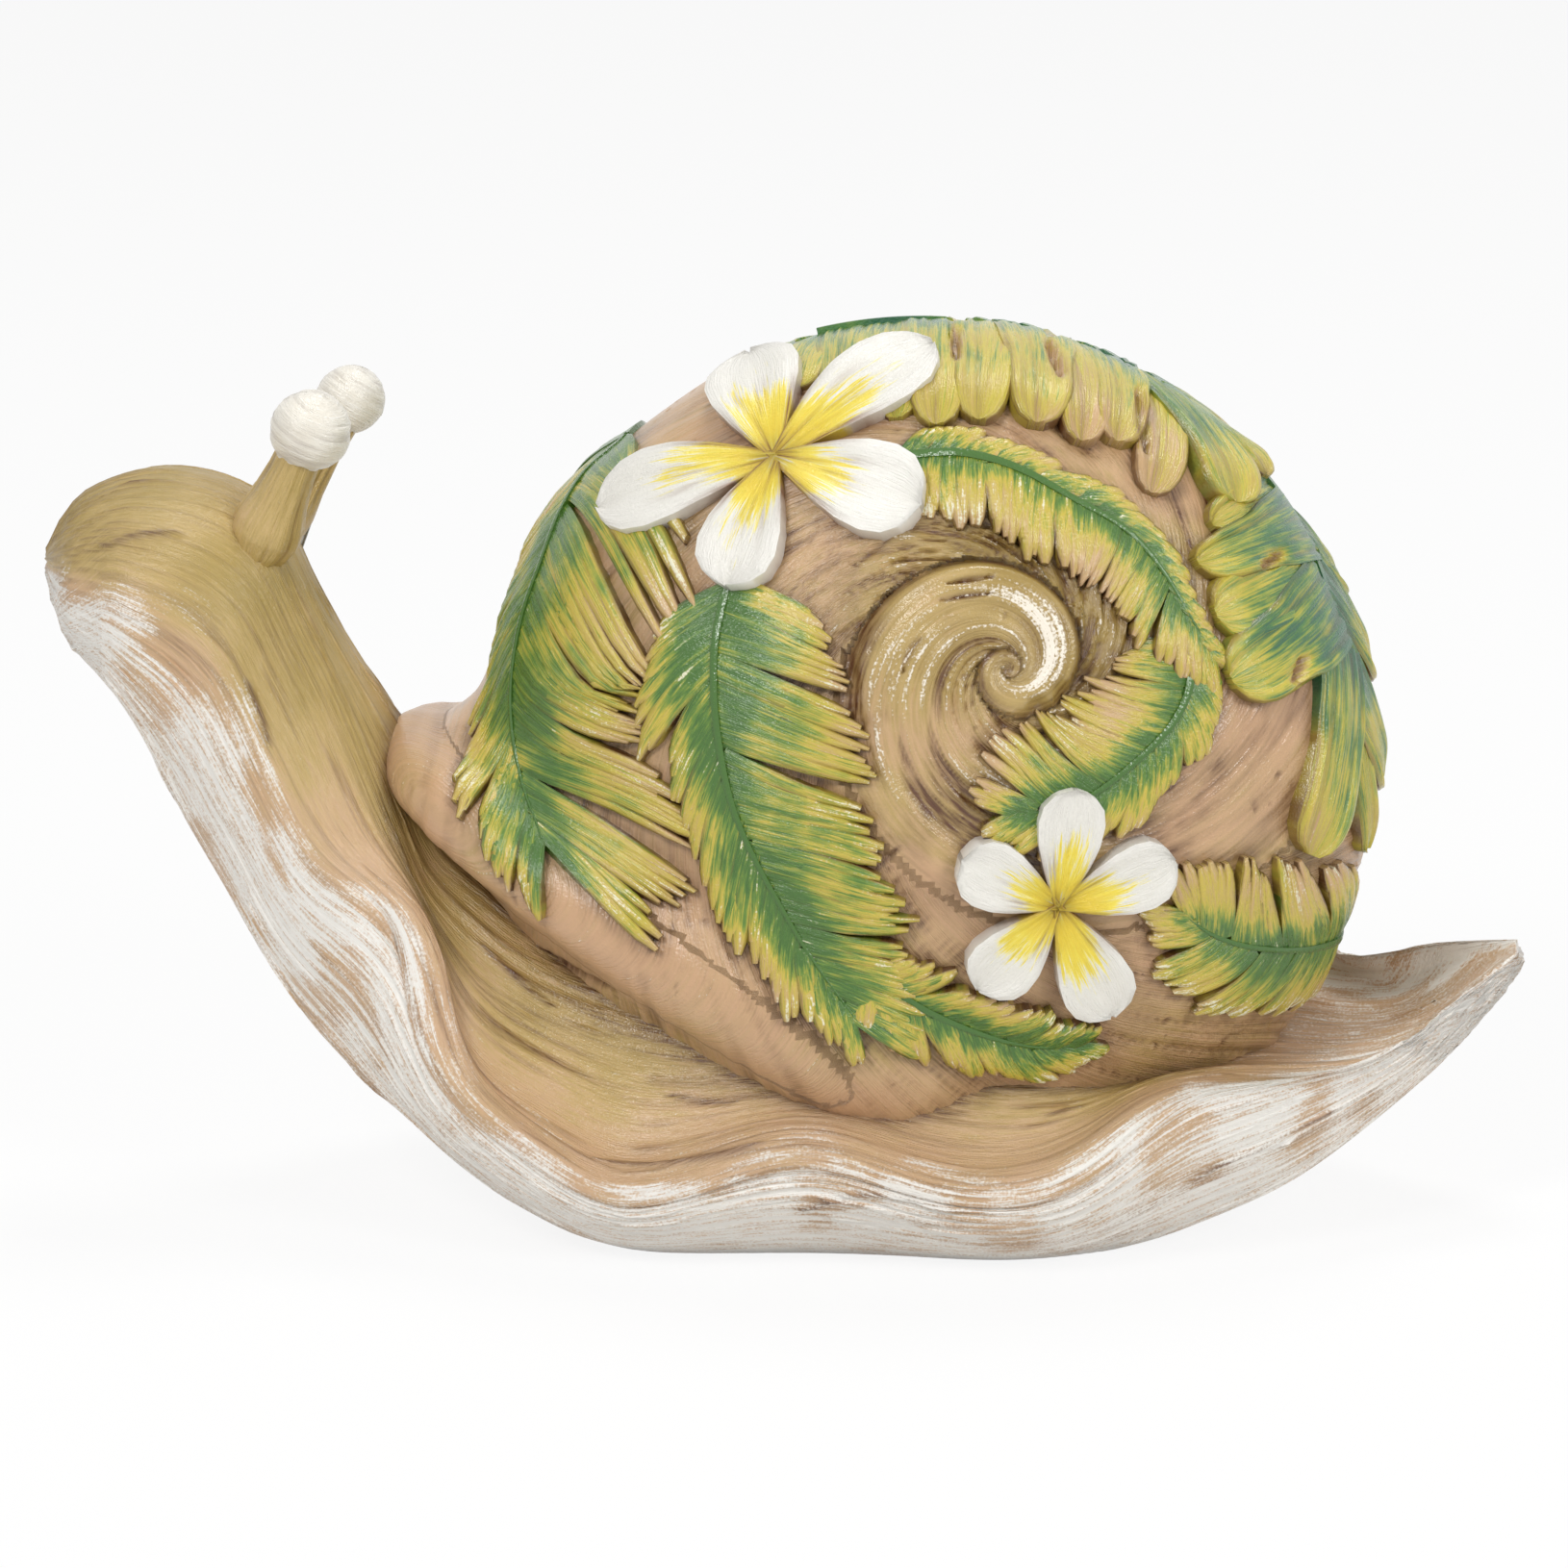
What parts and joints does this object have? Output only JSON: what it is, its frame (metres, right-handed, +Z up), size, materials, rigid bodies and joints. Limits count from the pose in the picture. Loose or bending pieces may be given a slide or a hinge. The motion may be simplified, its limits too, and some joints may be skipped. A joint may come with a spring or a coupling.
{
  "type": "snail figurine",
  "caption": "Painted resin garden snail with raised head and eye stalks, a round coiled shell dressed with palm fronds and blossoms, and a wavy foot with a flat sole.",
  "frame": {"origin": "on the flat sole, under the middle of the body's length, in its middle plane", "axes": "+Z up; the snail faces -X; its left flank, with the pictured decoration, faces -Y"},
  "size_m": [0.2496, 0.1091, 0.1511],
  "materials": {
    "body_resin": "cast resin, hand-painted tan and ochre with a dry-brushed white rim, satin lacquer",
    "shell_resin": "cast resin, hand-painted tan with a brown wash in its grooves, satin lacquer",
    "frond_resin": "cast resin, hand-painted green with yellow-green leaflet tips, satin lacquer",
    "crest_leaf_resin": "cast resin, hand-painted green to ochre yellow, satin lacquer",
    "flower_resin": "cast resin, hand-painted white with a yellow throat, satin lacquer",
    "eye_resin": "cast resin, dry-brushed off-white, satin lacquer",
    "wire_steel": "drawn steel wire",
    "plug_rubber": "moulded rubber"
  },
  "bodies": {
    "root": {"body": "body_resin", "shell": "shell_resin", "vent_plug": "plug_rubber", "left_stalk": "body_resin", "left_eye": "eye_resin", "left_stalk_wire": "wire_steel", "left_front_frond": "frond_resin", "left_throat_frond": "frond_resin", "left_crown_frond": "frond_resin", "left_whorl_frond": "frond_resin", "left_tail_frond": "frond_resin", "left_hem_frond": "frond_resin", "left_large_flower": "flower_resin", "left_small_flower": "flower_resin", "right_stalk": "body_resin", "right_eye": "eye_resin", "right_stalk_wire": "wire_steel", "right_front_frond": "frond_resin", "right_throat_frond": "frond_resin", "right_crown_frond": "frond_resin", "right_whorl_frond": "frond_resin", "right_tail_frond": "frond_resin", "right_hem_frond": "frond_resin", "right_large_flower": "flower_resin", "right_small_flower": "flower_resin", "crest_leaf": "crest_leaf_resin", "rear_leaf": "crest_leaf_resin"}
  },
  "joints": []
}
